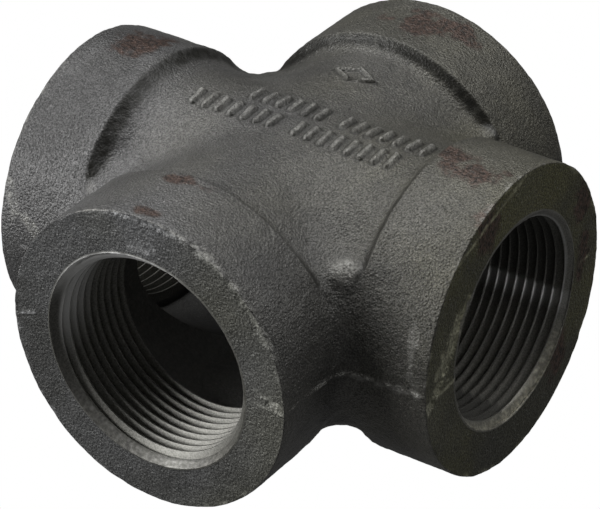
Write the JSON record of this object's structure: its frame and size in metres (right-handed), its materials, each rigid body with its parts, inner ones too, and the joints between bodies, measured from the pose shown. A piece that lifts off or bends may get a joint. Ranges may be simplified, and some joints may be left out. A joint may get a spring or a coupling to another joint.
{
  "type": "pipe cross fitting",
  "caption": "Banded cast iron pipe cross whose female taper-threaded ports, all in one plane, join two pipe runs at right angles.",
  "frame": {"origin": "where the port axes cross, midway between opposite port faces", "axes": "+X and +Y run out along the axes of two neighbouring ports, +Z is the face with the raised marks"},
  "size_m": [0.1082, 0.1082, 0.068],
  "materials": {
    "black_iron": "black, rough as-cast skin with traces of rust; threads and chamfers are cut metal"
  },
  "bodies": {
    "root": {"cross_body": "black_iron"}
  },
  "joints": []
}
